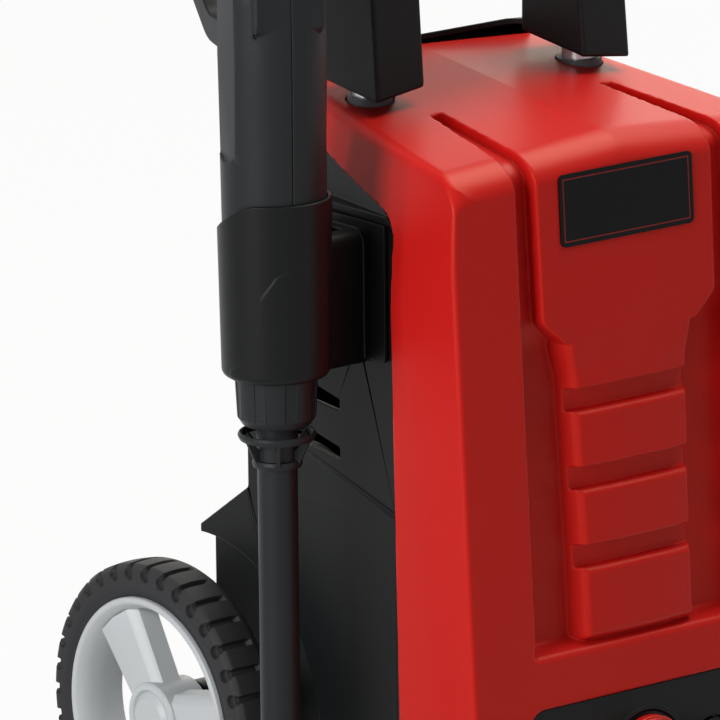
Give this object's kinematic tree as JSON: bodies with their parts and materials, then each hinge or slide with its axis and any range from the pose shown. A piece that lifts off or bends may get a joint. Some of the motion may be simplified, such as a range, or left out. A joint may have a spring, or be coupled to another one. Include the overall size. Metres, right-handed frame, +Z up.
{
  "type": "pressure washer",
  "caption": "Upright pressure washer with a ribbed front cover, telescopic handle, side-stored trigger gun and lance, rear wheels and a vertical motor over an axial pump.",
  "frame": {"origin": "centre of the front foot's underside, on the ground", "axes": "+X to the right along the front face, +Y from front to back, +Z up"},
  "size_m": [0.3367, 0.3302, 0.5964],
  "materials": {
    "red_plastic": "satin moulded red",
    "dark_plastic": "fine-grained near-black",
    "grip_plastic": "satin near-black",
    "gun_plastic": "satin dark grey",
    "inner_plastic": "plain grey nylon",
    "label_black": "gloss black with a thin red line",
    "rim_plastic": "satin grey",
    "tyre_rubber": "moulded tread",
    "foot_rubber": "plain",
    "red_trim": "satin red",
    "white_plastic": "plain white",
    "steel": "bright drawn",
    "core_steel": "varnished laminations",
    "copper": "enamelled copper wire",
    "brass": "turned",
    "cast_alloy": "die cast"
  },
  "bodies": {
    "machine": {"front_cover": "red_plastic", "rear_housing": "dark_plastic", "front_fascia": "dark_plastic", "label_plate": "label_black", "gun_holder": "dark_plastic", "holder_screws": "steel", "housing_screws": "steel", "front_foot": "foot_rubber", "axle": "steel", "axle_clips": "steel", "handle_guides": "inner_plastic", "cable_hook_lower": "dark_plastic", "motor_cradle": "inner_plastic", "stator_core": "core_steel", "stator_windings": "copper", "motor_end_shield": "inner_plastic", "brush_holders": "brass", "rotor_bearings": "steel", "swash_housing": "cast_alloy", "pump_pistons": "steel", "piston_springs": "steel", "pump_head": "cast_alloy", "valve_caps": "brass", "pressure_switch": "inner_plastic", "switch_body": "inner_plastic", "noise_filter": "white_plastic", "inlet_coupling": "dark_plastic", "inlet_filter": "white_plastic", "outlet_fitting": "brass", "cable_gland": "dark_plastic"},
    "rotor": {"rotor_shaft": "steel", "rotor_core": "core_steel", "rotor_windings": "copper", "commutator": "copper", "cooling_fan": "inner_plastic", "swash_plate": "steel"},
    "handle": {"handle_grip": "grip_plastic", "handle_tubes": "steel", "tube_bushes": "inner_plastic", "grip_screws": "steel"},
    "wheel_left": {"wheel_rim_left": "rim_plastic", "tyre_left": "tyre_rubber", "hub_cap_left": "rim_plastic"},
    "wheel_right": {"wheel_rim_right": "rim_plastic", "tyre_right": "tyre_rubber", "hub_cap_right": "rim_plastic"},
    "cable_hook": {"cable_hook_upper": "dark_plastic", "hook_pivot_cap": "dark_plastic"},
    "knob": {"switch_knob": "red_trim"},
    "gun": {"gun_shell_left": "gun_plastic", "gun_shell_right": "gun_plastic", "gun_valve": "brass", "hose_nipple": "brass", "nose_collar": "gun_plastic", "gun_screws": "steel"},
    "trigger": {"trigger": "red_trim"},
    "trigger_lock": {"trigger_lock": "gun_plastic"},
    "lance": {"lance_collar": "gun_plastic", "lance_tube": "gun_plastic"},
    "nozzle": {"nozzle_tip": "gun_plastic"}
  },
  "joints": [
    {"name": "rotor_spin", "type": "hinge", "parent": "machine", "child": "rotor", "pos_m": [0, 0.072, 0.25], "axis": [0, 0, 1], "continuous": true},
    {"name": "handle_slide", "type": "slide", "parent": "machine", "child": "handle", "axis": [0, 0, 1], "range_m": [0, 0.26]},
    {"name": "wheel_left_spin", "type": "hinge", "parent": "machine", "child": "wheel_left", "pos_m": [-0.1275, 0.194, 0.082], "axis": [1, 0, 0], "continuous": true},
    {"name": "wheel_right_spin", "type": "hinge", "parent": "machine", "child": "wheel_right", "pos_m": [0.1275, 0.194, 0.082], "axis": [1, 0, 0], "continuous": true},
    {"name": "cable_hook_turn", "type": "hinge", "parent": "machine", "child": "cable_hook", "pos_m": [0, 0.16, 0.39596], "axis": [0, 1, 0], "range_deg": [0, 180]},
    {"name": "knob_turn", "type": "hinge", "parent": "machine", "child": "knob", "pos_m": [0, -0.03389, 0.08838], "axis": [0, -0.9981, 0.0611], "range_deg": [-90, 0]},
    {"name": "gun_lift", "type": "slide", "parent": "machine", "child": "gun", "axis": [0, 0, 1], "range_m": [0, 0.36]},
    {"name": "trigger_squeeze", "type": "hinge", "parent": "gun", "child": "trigger", "pos_m": [-0.15643, 0.08275, 0.516], "axis": [0.9583, -0.2857, 0], "range_deg": [0, 10], "stiffness_Nm_per_rad": 0.3, "springref_deg": -14.32},
    {"name": "trigger_lock_turn", "type": "hinge", "parent": "trigger", "child": "trigger_lock", "pos_m": [-0.14443, 0.123, 0.513], "axis": [0.9583, -0.2857, 0], "range_deg": [0, 30]},
    {"name": "lance_twist", "type": "hinge", "parent": "gun", "child": "lance", "pos_m": [-0.165, 0.054, 0.262], "axis": [0, 0, 1], "range_deg": [0, 90]},
    {"name": "nozzle_turn", "type": "hinge", "parent": "lance", "child": "nozzle", "pos_m": [-0.165, 0.054, 0.045], "axis": [0, 0, 1], "range_deg": [0, 180]}
  ]
}
